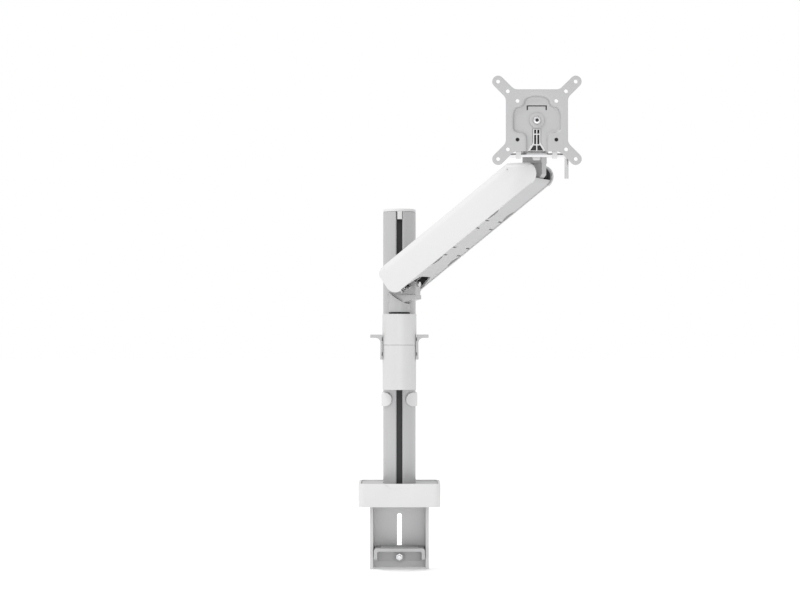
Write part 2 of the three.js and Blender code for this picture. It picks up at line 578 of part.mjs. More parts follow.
// Outline of the pressed pocket in the screen plate, centred on the plate.
function pocketOutline(grow) {
  const g = grow;
  const outline = new THREE.Shape();
  outline.moveTo(-13.2 - g, -45);
  outline.lineTo(-13.2 - g, -24);
  outline.quadraticCurveTo(-13.2 - g, -16 + g, -23 - g, -15.5 - g);
  outline.quadraticCurveTo(-30.2 - g, -15 - g, -30.2 - g, -8);
  outline.lineTo(-30.2 - g, 4);
  outline.quadraticCurveTo(-29.6 - g, 14 + g, -25 - g, 16.4 + g);
  outline.quadraticCurveTo(-16 - g, 17 + g, -15.6 - g, 25);
  outline.quadraticCurveTo(-13 - g, 30.5 + g, 0, 31 + g);
  outline.quadraticCurveTo(13 + g, 30.5 + g, 15.6 + g, 25);
  outline.quadraticCurveTo(16 + g, 17 + g, 25 + g, 16.4 + g);
  outline.quadraticCurveTo(29.6 + g, 14 + g, 30.2 + g, 4);
  outline.lineTo(30.2 + g, -8);
  outline.quadraticCurveTo(30.2 + g, -15 - g, 23 + g, -15.5 - g);
  outline.quadraticCurveTo(13.2 + g, -16 + g, 13.2 + g, -24);
  outline.lineTo(13.2 + g, -45);
  return outline;
}

// The bell-shaped opening that the catch fills.
function bell(grow, low, high) {
  const waist = -28.5 - grow * 0.4;
  return polygon([-5 - grow, high], [-5 - grow, waist], [-11 - grow, -39.4], [-11 - grow, low],
    [11 + grow, low], [11 + grow, -39.4], [5 + grow, waist], [5 + grow, high]);
}

const head = new THREE.Group();
head.position.set(plateX, 0, HEAD.tiltZ);
arm.add(head);

// Outline of the square plate with its four ears, each filleted into the sides.
function plateOutline() {
  const { body, ear, hole50, fillet } = PLATE;
  const half = body / 2;
  const root = half - ear * Math.SQRT2;
  const slant = fillet * Math.SQRT1_2;
  const side = ear * Math.SQRT1_2;
  const outline = new THREE.Shape();
  for (let quarter = 0; quarter < 4; quarter++) {
    const angle = quarter * Math.PI / 2;
    const at = (x, z) => [
      x * Math.cos(angle) - z * Math.sin(angle),
      x * Math.sin(angle) + z * Math.cos(angle),
    ];
    const start = at(half, root - fillet);
    outline[quarter ? 'lineTo' : 'moveTo'](...start);
    outline.quadraticCurveTo(...at(half, root), ...at(half + slant, root + slant));
    outline.lineTo(...at(hole50 + side, hole50 - side));
    outline.absarc(...at(hole50, hole50), ear, angle - Math.PI / 4, angle + 3 * Math.PI / 4);
    outline.lineTo(...at(root + slant, half + slant));
    outline.quadraticCurveTo(...at(root, half), ...at(root - fillet, half));
  }
  return outline;
}

function buildPlate() {
  const { front, thick, body, pocket, floor, hole } = PLATE;
  const half = body / 2;
  const back = front + thick;
  const sheet = upright(plateOutline(), front, back);
  const inBody = upright(roundedBox(-half, half, -half, half, 3), front - 1, front + 20);
  const tray = upright(pocketOutline(2.4), front, front + pocket + floor).intersect(inBody);
  const hollow = upright(pocketOutline(0), front - 1, front + pocket);
  const holes = [];
  [25, 37.5, 50].forEach((at) => {
    [[-1, -1], [1, -1], [1, 1], [-1, 1]].forEach(([sx, sz]) => {
      holes.push(barY(hole, sx * at, sz * at, front - 5, front + 20, 12));
    });
  });
  const screwHole = barY(3.4, 0, 0, front - 5, front + 20, 20);
  const catchHole = upright(bell(0.5, -60, -10.5), front - 5, front + 20);
  const lance = joined(
    block(-13, 13, front - 1, front + 20, 18.2, 19.6),
    block(-13, -11.4, front - 1, front + 20, 13.4, 19),
    block(11.4, 13, front - 1, front + 20, 13.4, 19),
  );
  const plate = cut(joined(sheet, tray), hollow, ...holes, screwHole, catchHole, lance);
  piece('vesa_plate', plate, 'silver', head);

  const seat = front + pocket;
  const washer = cut(barY(9.6, 0, 0, seat - 2.2, seat - GAP, 32), barY(3.4, 0, 0, -300, 0, 20));
  piece('plate_washer', washer, 'dark', head);
  const socket = barY(2.4, 0, 0, seat - 7, seat - 3.6, 6);
  const screw = joined(barY(5.1, 0, 0, seat - 5.4, seat - 2.5, 20), barY(2.9, 0, 0, seat - 3, -173, 20));
  piece('plate_screw', cut(screw, socket), 'steel', head);
}

function buildAdapter() {
  const y0 = PLATE.front + PLATE.pocket + PLATE.floor + GAP;
  const outline = roundedBox(-29.5, 29.5, -30.6, 21.5, 6);
  const channel = upright(bell(0.5, -60, -10), -200, -182.6);
  const holes = [barY(8 + GAP, 0, 0, -300, 0, 20), channel];
  piece('adapter', cut(upright(outline, y0, -176.9), ...holes), 'dark', head);

  const ribs = [];
  [[-11.7, -17], [-18.3, -30.6], [-32, -38.8]].forEach(([high, low]) => {
    const upper = high < -31 ? 4.4 : 3.4;
    const lower = high < -31 ? 8.6 : 3.4;
    [-1, 1].forEach((side) => {
      const corners = [[0.7, high], [upper, high], [lower, low], [0.7, low]];
      const cell = polygon(...corners.map(([x, z]) => [side * x, z]));
      ribs.push(upright(cell, -200, -187.5));
    });
  });
  const front = PLATE.front + PLATE.pocket + 0.2;
  const body = upright(bell(0, -39.4, -10.9), front, -183.2);
  const stem = new THREE.Shape();
  stem.moveTo(5.1, -38);
  stem.lineTo(5.1, -48.2);
  stem.absarc(2.6, -48.2, 2.5, 0, -Math.PI / 2, true);
  stem.absarc(-2.6, -48.2, 2.5, -Math.PI / 2, -Math.PI, true);
  stem.lineTo(-5.1, -38);
  piece('release_latch', cut(joined(body, upright(stem, -185.9, -183.2)), ...ribs), 'white', head);
}

function buildKey() {
  const low = KEY.z - HEAD.tiltZ;
  const clips = [['left', -23.6], ['right', 23.2]];
  clips.forEach(([side, x]) => {
    const outline = new THREE.Shape();
    outline.moveTo(-192.2, -31);
    outline.lineTo(-192.2, low - 1.5);
    outline.absarc(KEY.y, low - 1.5, 3, Math.PI, 2 * Math.PI);
    outline.lineTo(-186.2, -40);
    outline.lineTo(-181, -36);
    outline.lineTo(-181, -31);
    const across = new THREE.ExtrudeGeometry(outline, { depth: 6.4, bevelEnabled: false, curveSegments: 8 });
    across.rotateX(Math.PI / 2).rotateZ(Math.PI / 2).translate(x - 3.2, 0, 0);
    const hook = cut(solid(across), barX(2.95, KEY.y, low, -60, 60, 20));
    piece(`key_clip_${side}`, hook, 'white', head);
  });

  const across = KEY.flats / 2 / Math.cos(Math.PI / 6);
  const section = new THREE.Shape();
  for (let i = 0; i < 6; i++) {
    const angle = i * Math.PI / 3 + Math.PI / 6;
    section[i ? 'lineTo' : 'moveTo'](across * Math.cos(angle), across * Math.sin(angle));
  }
  const bend = 7;
  const foot = KEY.foot - HEAD.tiltZ;
  const route = new THREE.CurvePath();
  const at = (x, z) => new THREE.Vector3(x, KEY.y, z);
  const bendStart = at(KEY.right - bend, low);
  const bendEnd = at(KEY.right, low - bend);
  route.add(new THREE.LineCurve3(at(KEY.left, low), bendStart));
  route.add(new THREE.QuadraticBezierCurve3(bendStart, at(KEY.right, low), bendEnd));
  route.add(new THREE.LineCurve3(bendEnd, at(KEY.right, foot)));
  const bar = new THREE.ExtrudeGeometry(section, { steps: 24, extrudePath: route, bevelEnabled: false });
  piece('hex_key', solid(bar), 'steel', head);
}

buildBase();
buildPole();
buildClip();
buildClamp();
buildCarriage();
buildKnuckle();
buildArm();
buildLink();
buildTip();
buildYoke();
buildTiltBarrel();
buildPlate();
buildAdapter();
buildKey();

export default arm;
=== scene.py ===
"""Monitor arm on a desk-clamped pole: its looks, stage and camera, laid out as an add-on."""

import math

import bmesh
import bpy
import numpy as np
from bpy.props import FloatProperty, FloatVectorProperty, PointerProperty
from bpy.types import Operator, Panel, PropertyGroup
from mathutils.geometry import delaunay_2d_cdt
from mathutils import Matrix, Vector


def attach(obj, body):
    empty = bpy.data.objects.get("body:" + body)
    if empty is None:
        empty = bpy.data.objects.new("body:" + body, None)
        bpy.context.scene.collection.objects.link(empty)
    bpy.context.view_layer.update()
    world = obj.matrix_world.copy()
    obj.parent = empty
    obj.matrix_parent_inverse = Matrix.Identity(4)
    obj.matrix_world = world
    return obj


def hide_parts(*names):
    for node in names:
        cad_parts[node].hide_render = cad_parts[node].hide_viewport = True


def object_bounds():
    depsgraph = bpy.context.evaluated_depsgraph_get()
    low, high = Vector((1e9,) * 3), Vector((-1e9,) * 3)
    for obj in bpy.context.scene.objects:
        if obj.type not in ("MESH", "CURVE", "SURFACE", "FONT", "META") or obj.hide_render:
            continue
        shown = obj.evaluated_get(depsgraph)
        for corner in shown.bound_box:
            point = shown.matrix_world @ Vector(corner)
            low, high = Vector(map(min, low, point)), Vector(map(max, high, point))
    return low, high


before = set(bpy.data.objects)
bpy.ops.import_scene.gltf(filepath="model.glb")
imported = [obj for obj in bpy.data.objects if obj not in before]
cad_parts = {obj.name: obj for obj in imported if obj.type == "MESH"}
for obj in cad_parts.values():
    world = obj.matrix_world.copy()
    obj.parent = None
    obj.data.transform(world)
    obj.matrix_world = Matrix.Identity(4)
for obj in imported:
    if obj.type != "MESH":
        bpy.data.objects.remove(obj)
CAD_BOX = [list(corner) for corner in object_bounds()]

bl_info = {
    "name": "Monitor arm looks",
    "version": (1, 0, 0),
    "blender": (4, 5, 0),
    "location": "3D View > Sidebar > Monitor Arm",
    "description": "Dresses the monitor arm with smooth surfaces, finishes, light and a camera",
    "category": "Object",
}

MM = 0.001
TURN = 2 * math.pi
SHARP = math.radians(32.0)          # edges that turn more than this stay crisp

# The swinging arm's frame: u runs along the arm seen from above, w across it, away from the user.
HUB_Y = -60.0
SWING = math.radians(27.0)
RISE = math.radians(35.8)
PIVOT_U, PIVOT_Z = 5.0, 312.5

# Which finish each carried-over piece wears.
FINISH_OF_SLOT = {
    "white_shell": "white",
    "silver_metal": "silver",
    "grey_plastic": "grey",
    "bright_steel": "steel",
    "dark_plastic": "dark",
    "rubber": "rubber",
}

# Pieces whose finish is not the one that their slot has elsewhere. The pale is painted light: the
# silver coat made lighter so that the carriage and the clamp bracket look lit from the front.
FINISH_OF_NODE = {
    "arm_frame": "dark",
    "jaw_pad": "grey",
    "jaw_washer": "grey",
    "plate_washer": "grey",
    # Painted light: these wear the pale, a lighter copy of the silver coat that stands in for light
    # from the front.
    "carriage_upper": "pale",
    "carriage_lower": "pale",
    "clamp_bracket": "pale",
}


# ---- settings ------------------------------------------------------------------------------


def colour(name, description, value):
    """A colour property in scene-linear numbers."""
    return FloatVectorProperty(
        name=name, description=description, default=value, size=3,
        min=0.0, max=1.0, subtype="COLOR",
    )


def length(name, description, millimetres):
    """A length property, whose default is given in millimetres."""
    return FloatProperty(
        name=name, description=description, default=millimetres * MM, min=0.0,
        precision=5, unit="LENGTH",
    )


class MonitorArmSizes(PropertyGroup):
    """Sizes of the smooth surfaces."""

    edge_round: length("Edge round", "Rounding of the cut edges of metal pieces", 0.35)
    shell_round: length("Shell round", "Rounding of the arm shell's top edges", 13.0)
    shell_wall: length("Shell wall", "Wall thickness of the arm shell", 3.0)
    plate_thickness: length("Plate thickness", "Sheet thickness of the screen plate", 2.5)
    pocket_depth: length("Pocket depth", "How far the plate's middle is pressed back", 3.5)


class MonitorArmColours(PropertyGroup):
    """Colours of the finishes."""

    white: colour("White shell", "Satin white covers", (0.565, 0.565, 0.565))
    silver: colour("Silver coat", "Fine silver-grey coat of the metal", (0.405, 0.405, 0.409))
    # Painted light: the pale is the silver coat made lighter, so that the carriage and the clamp
    # bracket, its web under the cover too, look lit from the front.
    pale: colour("Pale coat", "Lighter coat of the carriage and clamp", (0.53, 0.53, 0.53))
    # The grey also lines the inside of the arm shell, where it is painted shade.
    grey: colour("Grey plastic", "Underside and inner frame of the arm", (0.40, 0.40, 0.404))
    steel: colour("Bright steel", "Pins, screws and the hex key", (0.62, 0.62, 0.63))
    # The dark also fills the pole's slot room and the screw's hexagon recess, where it is painted
    # shade.
    dark: colour("Dark plastic", "Slot strip, barrel and adapter", (0.035, 0.035, 0.037))
    rubber: colour("Rubber", "Pads and friction rings", (0.02, 0.02, 0.021))
    floor: colour("Floor", "The pale floor", (0.93, 0.93, 0.93))


class MonitorArmStage(PropertyGroup):
    """Light, floor and camera."""

    world_strength: FloatProperty(
        name="Surround light", description="Strength of the white surround", default=1.0, min=0.0,
    )
    key_power: FloatProperty(
        name="Key light", description="Power of the large soft light above, to the left",
        default=40.0, min=0.0, unit="POWER",
    )
    fill_power: FloatProperty(
        name="Fill light", description="Power of the soft light from the front",
        default=8.0, min=0.0, unit="POWER",
    )
    lens: FloatProperty(
        name="Lens", description="Focal length of the camera in millimetres",
        default=91.2, min=1.0,
    )
    distance: FloatProperty(
        name="Camera distance", description="From the pole's axis to the camera",
        default=2.8, min=0.1, unit="LENGTH",
    )
    height: FloatProperty(
        name="Camera height", description="Height of the camera above the desk",
        default=0.227, unit="LENGTH",
    )
    pitch: FloatProperty(
        name="Camera pitch", description="How far the camera looks up",
        default=math.radians(1.13), unit="ROTATION",
    )


# ---- shader maths --------------------------------------------------------------------------


class Value:
    """A number that varies over the surface: an output socket with the sums written as Python."""

    def __init__(self, tree, socket):
        self.tree = tree
        self.socket = socket

    def sum_with(self, operation, first, second):
        """One sum as a maths node: its inputs are varying values or numbers."""
        node = self.tree.nodes.new("ShaderNodeMath")
        node.operation = operation
        for slot_in, value in zip(node.inputs, (first, second)):
            if isinstance(value, Value):
                self.tree.links.new(value.socket, slot_in)
            else:
                slot_in.default_value = value
        return Value(self.tree, node.outputs[0])

    def __add__(self, other):
        return self.sum_with("ADD", self, other)

    def __radd__(self, other):
        return self.sum_with("ADD", other, self)

    def __sub__(self, other):
        return self.sum_with("SUBTRACT", self, other)

    def __rsub__(self, other):
        return self.sum_with("SUBTRACT", other, self)

    def __mul__(self, other):
        return self.sum_with("MULTIPLY", self, other)

    def __rmul__(self, other):
        return self.sum_with("MULTIPLY", other, self)


class Finish:
    """A material being built: one method makes any node, the others name the finish's parts."""

    def __init__(self, name):
        self.material = bpy.data.materials.new(name)
        self.material.use_nodes = True
        self.tree = self.material.node_tree
        self.shader = self.tree.nodes["Principled BSDF"]

    def node(self, kind, settings=None, inputs=None):
        """Makes a node: its settings first, then the values or links of its sockets."""
        made = self.tree.nodes.new(kind)
        for key, value in (settings or {}).items():
            setattr(made, key, value)
        for key, value in (inputs or {}).items():
            self.feed(made.inputs[key], value)
        return made

    def feed(self, socket, value):
        """Links a socket or sets its constant."""
        if isinstance(value, Value):
            self.tree.links.new(value.socket, socket)
        elif isinstance(value, bpy.types.NodeSocket):
            self.tree.links.new(value, socket)
        else:
            socket.default_value = value

    def place(self, scale=(1.0, 1.0, 1.0)):
        """Object coordinates, stretched by a scale for each axis."""
        where = self.node("ShaderNodeTexCoord").outputs["Object"]
        return self.node("ShaderNodeMapping", None, {"Vector": where, "Scale": scale}).outputs[0]

    def noise(self, scale, detail=2.0, rough=0.5, stretch=(1.0, 1.0, 1.0)):
        """Even noise between 0 and 1."""
        made = self.node(
            "ShaderNodeTexNoise", None,
            {"Vector": self.place(stretch), "Scale": scale, "Detail": detail, "Roughness": rough},
        )
        return Value(self.tree, made.outputs["Fac"])

    def tint(self, amount, dark, light):
        """A colour between two, by an amount from 0 to 1."""
        made = self.node(
            "ShaderNodeMix", {"data_type": "RGBA", "clamp_factor": True}, {"Factor": amount},
        )
        self.feed(made.inputs[6], (*dark, 1.0))
        self.feed(made.inputs[7], (*light, 1.0))
        return made.outputs[2]

    def dimple(self, height, strength, distance):
        """Bump from a height."""
        made = self.node(
            "ShaderNodeBump", None,
            {"Height": height, "Strength": strength, "Distance": distance},
        )
        self.feed(self.shader.inputs["Normal"], made.outputs[0])

    def base(self, value):
        self.feed(self.shader.inputs["Base Color"], value)

    def rough(self, value):
        self.feed(self.shader.inputs["Roughness"], value)

    def constant(self, **values):
        for key, value in values.items():
            self.shader.inputs[key.replace("_", " ")].default_value = value


def shade(rgb, factor):
    """A colour made lighter or darker, kept under white."""
    return tuple(min(0.98, channel * factor) for channel in rgb)


def white_finish(rgb):
    """Satin moulded white: an even fine grain and a faint drift of tone."""
    finish = Finish("satin_white")
    drift = finish.noise(9.0, 3.0)
    grain = finish.noise(2600.0, 2.0)
    finish.base(finish.tint(drift, shade(rgb, 0.985), shade(rgb, 1.015)))
    finish.rough(0.36 + 0.08 * grain)
    finish.dimple(grain, 0.12, 0.00004)
    finish.constant(Specular_IOR_Level=0.35)
    return finish.material


def silver_finish(rgb):
    """Silver-grey coat: fine metallic fleck under a satin film."""
    finish = Finish("silver_coat")
    fleck = finish.noise(5200.0, 2.0, 0.6)
    drift = finish.noise(14.0, 3.0)
    amount = 0.35 * fleck + 0.65 * drift
    finish.base(finish.tint(amount, shade(rgb, 0.95), shade(rgb, 1.05)))
    finish.rough(0.40 + 0.10 * fleck)
    finish.dimple(fleck, 0.15, 0.00003)
    finish.constant(Metallic=0.25)
    return finish.material


def brushed_finish(rgb):
    """Anodised extrusion: long fine lines up the pole."""
    finish = Finish("anodised_extrusion")
    lines = finish.noise(1400.0, 2.0, 0.6, (1.0, 1.0, 0.004))
    drift = finish.noise(11.0, 2.0)
    amount = 0.5 * lines + 0.5 * drift
    finish.base(finish.tint(amount, shade(rgb, 0.955), shade(rgb, 1.045)))
    finish.rough(0.34 + 0.10 * lines)
    finish.dimple(lines, 0.10, 0.00004)
    finish.constant(Metallic=0.3)
    return finish.material


def grey_finish(rgb):
    """Textured grey moulding."""
    finish = Finish("grey_moulding")
    grain = finish.noise(1900.0, 3.0, 0.6)
    drift = finish.noise(12.0, 2.0)
    finish.base(finish.tint(0.5 * grain + 0.5 * drift, shade(rgb, 0.95), shade(rgb, 1.05)))
    finish.rough(0.50 + 0.12 * grain)
    finish.dimple(grain, 0.25, 0.00006)
    return finish.material


def steel_finish(rgb):
    """Plated steel: bright, with fine turning marks."""
    finish = Finish("plated_steel")
    marks = finish.noise(3400.0, 2.0, 0.6)
    drift = finish.noise(30.0, 2.0)
    finish.base(finish.tint(drift, shade(rgb, 0.94), shade(rgb, 1.06)))
    finish.rough(0.20 + 0.10 * marks)
    finish.dimple(marks, 0.06, 0.00002)
    finish.constant(Metallic=1.0)
    return finish.material


def dark_finish(rgb):
    """Matt black moulding with a fine spark grain."""
    finish = Finish("dark_moulding")
    grain = finish.noise(2400.0, 3.0, 0.6)
    finish.base(finish.tint(grain, shade(rgb, 0.8), shade(rgb, 1.3)))
    finish.rough(0.52 + 0.14 * grain)
    finish.dimple(grain, 0.3, 0.00005)
    return finish.material


def rubber_finish(rgb):
    """Dull rubber with a coarse matt grain."""
    finish = Finish("matt_rubber")
    grain = finish.noise(1300.0, 4.0, 0.65)
    finish.base(finish.tint(grain, shade(rgb, 0.75), shade(rgb, 1.35)))
    finish.rough(0.78 + 0.14 * grain)
    finish.dimple(grain, 0.4, 0.00008)
    return finish.material


FINISHES = {
    "white": white_finish,
    "silver": silver_finish,
    # The pale is the silver coat in a lighter tone: painted light.
    "pale": silver_finish,
    "brushed": brushed_finish,
    "grey": grey_finish,
    "steel": steel_finish,
    "dark": dark_finish,
    "rubber": rubber_finish,
}
# Finishes that take their colour from another finish.
COLOUR_OF_FINISH = {"brushed": "silver"}
made_finishes = {}


def finish_named(name):
    """The material of that finish, made once."""
    if name not in made_finishes:
        colours = bpy.context.scene.monitor_arm_colours
        rgb = tuple(getattr(colours, COLOUR_OF_FINISH.get(name, name)))
        made_finishes[name] = FINISHES[name](rgb)
    return made_finishes[name]


# ---- carried-over pieces -------------------------------------------------------------------

WELD_REACH = 0.02 * MM
FLAT_WITHIN = math.radians(0.8)
# The bracket's edges are eased less, because the slot's scallops are only half a millimetre deep.
EASE_SHARE = {"clamp_bracket": 0.25}


def wear(piece, name):
    """Gives a piece one finish over all its faces."""
    piece.data.materials.clear()
    piece.data.materials.append(finish_named(name))
    piece.data.polygons.foreach_set(
        "material_index", np.zeros(len(piece.data.polygons), np.int32),
    )


def ease_edges(piece, width):
    """Joins the loose triangles, clears the flat seams and rounds the sharp edges."""
    weld = piece.modifiers.new("join", "WELD")
    weld.merge_threshold = WELD_REACH
    flat = piece.modifiers.new("clear_flats", "DECIMATE")
    flat.decimate_type = "DISSOLVE"
    flat.angle_limit = FLAT_WITHIN
    bevel = piece.modifiers.new("ease", "BEVEL")
    bevel.width = width
    bevel.segments = 2
    bevel.limit_method = "ANGLE"
    bevel.angle_limit = SHARP
    bevel.use_clamp_overlap = True
    bevel.harden_normals = True
    piece.data.polygons.foreach_set("use_smooth", np.ones(len(piece.data.polygons), bool))


class MONITORARM_OT_carried(Operator):
    """Finishes the carried-over pieces: eased edges and a procedural material for each slot"""

    bl_idname = "monitor_arm.carried"
    bl_label = "Carried-over pieces"

    def execute(self, context):
        width = context.scene.monitor_arm_sizes.edge_round
        for name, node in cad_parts.items():
            wear(node, FINISH_OF_NODE.get(name, FINISH_OF_SLOT[slot_of(node)]))
            clear_normals(node.data)
            ease_edges(node, width * EASE_SHARE.get(name, 1.0))
        return {"FINISHED"}


def clear_normals(mesh):
    """Drops the stored corner normals, so that the eased edges shade from the surface itself."""
    if "custom_normal" in mesh.attributes:
        mesh.attributes.remove(mesh.attributes["custom_normal"])


def slot_of(node):
    """The material slot that a carried-over piece comes with."""
    for material in node.data.materials:
        for slot in FINISH_OF_SLOT:
            if slot in material.name:
                return slot
    return "silver_metal"


# ---- stage ---------------------------------------------------------------------------------

LIT_POINT = (0.08, -0.08, 0.24)
KEY_PLACE, KEY_SIZE = (-1.2, -0.8, 2.6), 1.6
FILL_PLACE, FILL_SIZE = (0.2, -3.2, 0.1), 1.2
CAMERA_ASIDE = 0.0008
FLOOR_GAP = 0.5 * MM


def soft_light(name, place, target, size, power):
    """A square area light that faces a point."""
    lamp = bpy.data.lights.new(name, "AREA")
    lamp.shape = "SQUARE"
    lamp.size = size
    lamp.energy = power
    holder = bpy.data.objects.new(name, lamp)
    bpy.context.scene.collection.objects.link(holder)
    from_target = np.array(place, float) - np.array(target, float)
    distance = np.linalg.norm(from_target)
    holder.location = place
    holder.rotation_euler = (
        math.acos(from_target[2] / distance), 0.0,
        math.atan2(from_target[1], from_target[0]) + math.pi / 2,
    )
    return holder


class MONITORARM_OT_stage(Operator):
    """Pale floor, white surround, soft lights and the camera"""

    bl_idname = "monitor_arm.stage"
    bl_label = "Stage, light and camera"

    def execute(self, context):
        stage = context.scene.monitor_arm_stage
        self.floor(context)
        self.surround(context, stage.world_strength)
        soft_light("key_light", KEY_PLACE, LIT_POINT, KEY_SIZE, stage.key_power)
        soft_light("fill_light", FILL_PLACE, LIT_POINT, FILL_SIZE, stage.fill_power)
        camera = bpy.data.cameras.new("camera")
        camera.sensor_width = 36.0
        camera.lens = stage.lens
        camera.clip_end = 100.0
        holder = bpy.data.objects.new("camera", camera)
        holder.location = (CAMERA_ASIDE, -stage.distance, stage.height)
        holder.rotation_euler = (math.pi / 2 + stage.pitch, 0.0, 0.0)
        context.scene.collection.objects.link(holder)
        context.scene.camera = holder
        return {"FINISHED"}

    def floor(self, context):
        """A wide pale disc just under the clamp, as rings of points joined into quads."""
        low = CAD_BOX[0][2] - FLOOR_GAP
        rings = np.array([0.4, 1.0, 2.5, 6.0, 14.0, 30.0])
        angles = np.linspace(0.0, TURN, 64, endpoint=False)
        spread = rings[:, None]
        level = np.full((len(rings), len(angles)), low)
        grid = np.stack([spread * np.cos(angles), spread * np.sin(angles), level], axis=-1)
        floor = new_piece("floor", *grid_mesh(grid, loop_v=True, cap_start=True))
        floor.data.flip_normals()
        finish = Finish("pale_floor")
        tone = finish.noise(3.0, 2.0)
        rgb = tuple(context.scene.monitor_arm_colours.floor)
        finish.base(finish.tint(tone, shade(rgb, 0.99), shade(rgb, 1.01)))
        finish.constant(Roughness=0.9, Emission_Strength=0.22)
        finish.shader.inputs["Emission Color"].default_value = (1.0, 1.0, 1.0, 1.0)
        floor.data.materials.append(finish.material)

    def surround(self, context, strength):
        """An even white surround, shown without a tone curve."""
        world = bpy.data.worlds.new("white_surround")
        world.use_nodes = True
        background = world.node_tree.nodes["Background"]
        background.inputs["Color"].default_value = (1.0, 1.0, 1.0, 1.0)
        background.inputs["Strength"].default_value = strength
        context.scene.world = world
        context.scene.view_settings.view_transform = "Standard"


# ---- surfaces ------------------------------------------------------------------------------


def new_piece(name, points, faces):
    """An object from points and faces, at the origin, smooth except at its sharp edges."""
    mesh = bpy.data.meshes.new(name)
    mesh.from_pydata(points.tolist(), [], faces)
    build = bmesh.new()
    build.from_mesh(mesh)
    bmesh.ops.remove_doubles(build, verts=build.verts, dist=1e-6)
    bmesh.ops.recalc_face_normals(build, faces=build.faces)
    build.to_mesh(mesh)
    build.free()
    mesh.polygons.foreach_set("use_smooth", np.ones(len(mesh.polygons), bool))
    mesh.set_sharp_from_angle(angle=SHARP)
    piece = bpy.data.objects.new(name, mesh)
    bpy.context.scene.collection.objects.link(piece)
    return piece


def grid_mesh(grid, loop_v=False, cap_start=False, cap_end=False):
    """Quads over a grid of points, rows by columns, closed or capped on request."""
    rows, columns = grid.shape[:2]
    index = np.arange(rows * columns).reshape(rows, columns)
    across = np.roll(index, -1, axis=1) if loop_v else index[:, 1:]
    here = index if loop_v else index[:, :-1]
    quads = np.stack([here[:-1], across[:-1], across[1:], here[1:]], axis=-1).reshape(-1, 4)
    faces = quads.tolist()
    if cap_start:
        faces.append(index[0, ::-1].tolist())
    if cap_end:
        faces.append(index[-1].tolist())
    return grid.reshape(-1, 3), faces


# ---- outlines ------------------------------------------------------------------------------


def arc(x, y, radius, start, end, count):
    """Points round a centre, from one angle to another in degrees."""
    angles = np.radians(np.linspace(start, end, count))
    return np.stack([x + radius * np.cos(angles), y + radius * np.sin(angles)], axis=-1)


def ring(radius, count=48):
    """A whole circle about the origin, without its last repeated point."""
    return arc(0.0, 0.0, radius, 0.0, 360.0, count + 1)[:-1]


def loop_of(*parts):
    """One closed loop from arcs and corner points, in order."""
    return np.concatenate([np.atleast_2d(np.array(part, float)) for part in parts])


def filleted_box(x0, x1, y0, y1, radius, count=13):
    """A box with four quarter-circle corners, anticlockwise from the lower right."""
    return loop_of(
        arc(x1 - radius, y0 + radius, radius, -90, 0, count),
        arc(x1 - radius, y1 - radius, radius, 0, 90, count),
        arc(x0 + radius, y1 - radius, radius, 90, 180, count),
        arc(x0 + radius, y0 + radius, radius, 180, 270, count),
    )


def finely(loop, step):
    """The loop with extra points, so that no side is longer than the step."""
    closed = np.vstack([loop, loop[:1]])
    sides = np.linalg.norm(np.diff(closed, axis=0), axis=1)
    counts = np.maximum(np.ceil(sides / step).astype(int), 1)
    starts = np.repeat(np.arange(len(loop)), counts)
    within = np.arange(counts.sum()) - np.repeat(np.cumsum(counts) - counts, counts)
    share = (within / counts[starts])[:, None]
    return closed[starts] * (1 - share) + closed[starts + 1] * share


def shrunk(loop, distance):
    """The loop moved to its left by a distance, along the mitre of its two sides at each point."""
    before = loop - np.roll(loop, 1, axis=0)
    after = np.roll(loop, -1, axis=0) - loop
    before /= np.maximum(np.linalg.norm(before, axis=1, keepdims=True), 1e-9)
    after /= np.maximum(np.linalg.norm(after, axis=1, keepdims=True), 1e-9)
    normals = np.stack([-(before + after)[:, 1], (before + after)[:, 0]], axis=-1)
    normals /= np.maximum(np.linalg.norm(normals, axis=1, keepdims=True), 1e-9)
    facing = np.abs(normals[:, 0] * -after[:, 1] + normals[:, 1] * after[:, 0])
    return loop + normals * distance / np.maximum(facing, 0.5)[:, None]


def inside(points, loops):
    """Whether each point is inside an odd number of loops: counts the sides crossed by a ray."""
    crossings = np.zeros(len(points), int)
    for loop in loops:
        ends = np.roll(loop, -1, axis=0)
        x, y = points[:, 0][:, None], points[:, 1][:, None]
        spans = (loop[:, 1] > y) != (ends[:, 1] > y)
        rise = np.where(ends[:, 1] == loop[:, 1], 1e-12, ends[:, 1] - loop[:, 1])
        meets = loop[:, 0] + (y - loop[:, 1]) * (ends[:, 0] - loop[:, 0]) / rise
        crossings += (spans & (x < meets)).sum(axis=1)
    return crossings % 2 == 1


def depth_inside(points, loop):
    """Signed distance of each point from a loop: positive inside it."""
    ends = np.roll(loop, -1, axis=0)
    side = ends - loop
    offset = points[:, None, :] - loop[None]
    share = (offset * side).sum(-1) / np.maximum((side * side).sum(-1), 1e-12)
    nearest = offset - np.clip(share, 0, 1)[..., None] * side
    distance = np.linalg.norm(nearest, axis=-1).min(axis=1)
    return np.where(inside(points, [loop]), distance, -distance)


RIM_CLEARANCE = 0.25                # extra points nearer to a rim than this are left out


